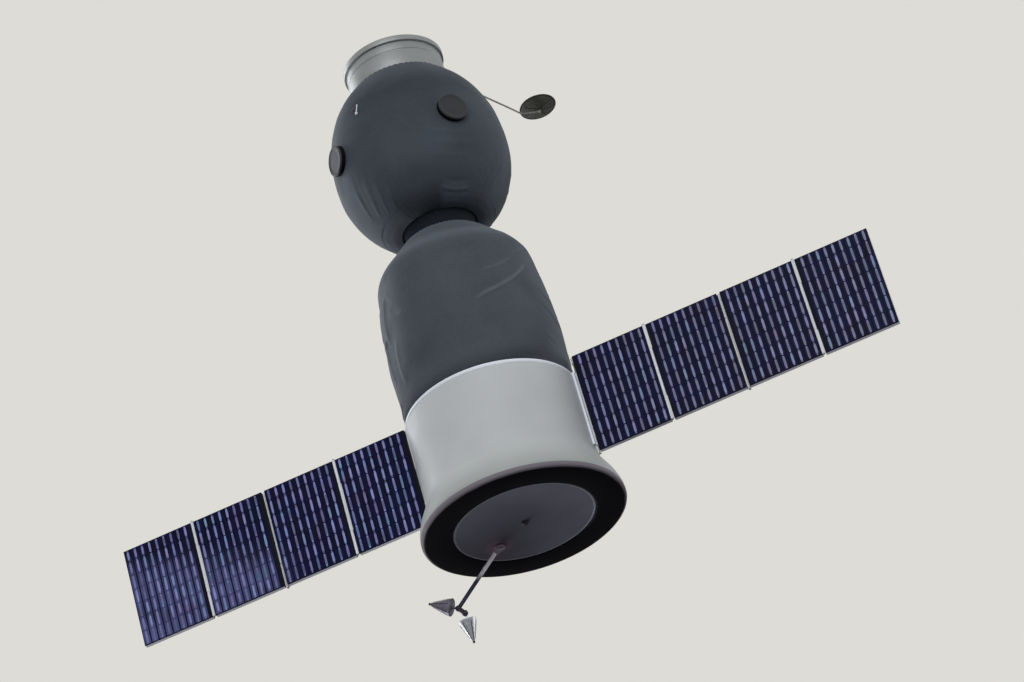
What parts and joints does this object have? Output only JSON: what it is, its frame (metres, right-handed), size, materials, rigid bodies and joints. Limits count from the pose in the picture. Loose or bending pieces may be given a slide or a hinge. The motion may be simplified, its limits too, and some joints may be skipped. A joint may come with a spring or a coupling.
{
  "type": "crew spacecraft display model",
  "caption": "Docked crew spacecraft model at one tenth size: rounded forward module, fabric-covered bell, flared service module, folding panel wings and antennas.",
  "frame": {"origin": "centre of the docking ring's flat forward face, which carries the hanging craft", "axes": "+Z forward along the craft, out of the docking face; +X along the right wing; +Y towards the back, the side that the wings fold to"},
  "size_m": [1.0838, 0.2887, 0.863],
  "materials": {
    "slate_fabric": "matt slate-grey coated cloth, lightly wrinkled",
    "neck_fabric": "matt dark cloth gathered round the neck",
    "white_paint": "satin white-grey paint",
    "bright_rim": "satin bright white paint",
    "black_ring": "satin near-black paint",
    "aft_disc": "smooth purple-grey satin",
    "dark_metal": "dark satin paint",
    "steel_rod": "drawn bright steel",
    "polished_cone": "polished",
    "dish_mesh": "dark satin with a paler patterned middle",
    "pale_dish": "pale satin paint",
    "collar_paint": "light silver-grey satin paint",
    "port_cover": "brown-grey coated cloth over a round cap",
    "solar_cells": "navy cells in fine rows behind a satin film"
  },
  "bodies": {
    "craft": {"base_ring": "black_ring", "aft_disc": "aft_disc", "disc_bolt": "dark_metal", "flare_skirt": "white_paint", "service_cylinder": "white_paint", "service_rim": "bright_rim", "descent_module": "slate_fabric", "neck_ring": "neck_fabric", "orbital_module": "slate_fabric", "port_cover_right": "port_cover", "port_cover_left": "port_cover", "port_cover_rear": "port_cover", "signal_lamp": "bright_rim", "side_dish": "dish_mesh", "side_boom": "dark_metal", "forward_dish": "pale_dish", "forward_boom": "dark_metal", "docking_collar": "collar_paint", "docking_ring": "collar_paint", "boom_socket": "dark_metal", "aft_boom": "steel_rod", "boom_bracket": "dark_metal", "outboard_cone": "dark_metal", "aft_cone": "polished_cone", "root_rail_right": "bright_rim", "root_rail_left": "bright_rim", "hinge_pin_right_1": "steel_rod", "hinge_pin_left_1": "steel_rod"},
    "right_wing_1": {"panel_right_1": "solar_cells", "hinge_pin_right_2": "steel_rod"},
    "right_wing_2": {"panel_right_2": "solar_cells", "hinge_pin_right_3": "steel_rod"},
    "right_wing_3": {"panel_right_3": "solar_cells", "hinge_pin_right_4": "steel_rod"},
    "right_wing_4": {"panel_right_4": "solar_cells"},
    "left_wing_1": {"panel_left_1": "solar_cells", "hinge_pin_left_2": "steel_rod"},
    "left_wing_2": {"panel_left_2": "solar_cells", "hinge_pin_left_3": "steel_rod"},
    "left_wing_3": {"panel_left_3": "solar_cells", "hinge_pin_left_4": "steel_rod"},
    "left_wing_4": {"panel_left_4": "solar_cells"}
  },
  "joints": [
    {"name": "right_root_hinge", "type": "hinge", "parent": "craft", "child": "right_wing_1", "pos_m": [0.12045, 0.0039, -0.617], "axis": [0, 0, 1], "range_deg": [0, 90]},
    {"name": "right_fold_2", "type": "hinge", "parent": "right_wing_1", "child": "right_wing_2", "pos_m": [0.2264, -0.0039, -0.617], "axis": [0, 0, 1], "range_deg": [-180, 0]},
    {"name": "right_fold_3", "type": "hinge", "parent": "right_wing_2", "child": "right_wing_3", "pos_m": [0.33235, 0.0039, -0.617], "axis": [0, 0, 1], "range_deg": [0, 180]},
    {"name": "right_fold_4", "type": "hinge", "parent": "right_wing_3", "child": "right_wing_4", "pos_m": [0.4383, -0.0039, -0.617], "axis": [0, 0, 1], "range_deg": [-180, 0]},
    {"name": "left_root_hinge", "type": "hinge", "parent": "craft", "child": "left_wing_1", "pos_m": [-0.12045, 0.0039, -0.617], "axis": [0, 0, -1], "range_deg": [0, 90]},
    {"name": "left_fold_2", "type": "hinge", "parent": "left_wing_1", "child": "left_wing_2", "pos_m": [-0.2264, -0.0039, -0.617], "axis": [0, 0, -1], "range_deg": [-180, 0]},
    {"name": "left_fold_3", "type": "hinge", "parent": "left_wing_2", "child": "left_wing_3", "pos_m": [-0.33235, 0.0039, -0.617], "axis": [0, 0, -1], "range_deg": [0, 180]},
    {"name": "left_fold_4", "type": "hinge", "parent": "left_wing_3", "child": "left_wing_4", "pos_m": [-0.4383, -0.0039, -0.617], "axis": [0, 0, -1], "range_deg": [-180, 0]}
  ],
  "couplings": [
    {"joint": "right_fold_2", "follows": "right_root_hinge", "ratio": -2},
    {"joint": "right_fold_3", "follows": "right_root_hinge", "ratio": 2},
    {"joint": "right_fold_4", "follows": "right_root_hinge", "ratio": -2},
    {"joint": "left_fold_2", "follows": "left_root_hinge", "ratio": -2},
    {"joint": "left_fold_3", "follows": "left_root_hinge", "ratio": 2},
    {"joint": "left_fold_4", "follows": "left_root_hinge", "ratio": -2}
  ]
}
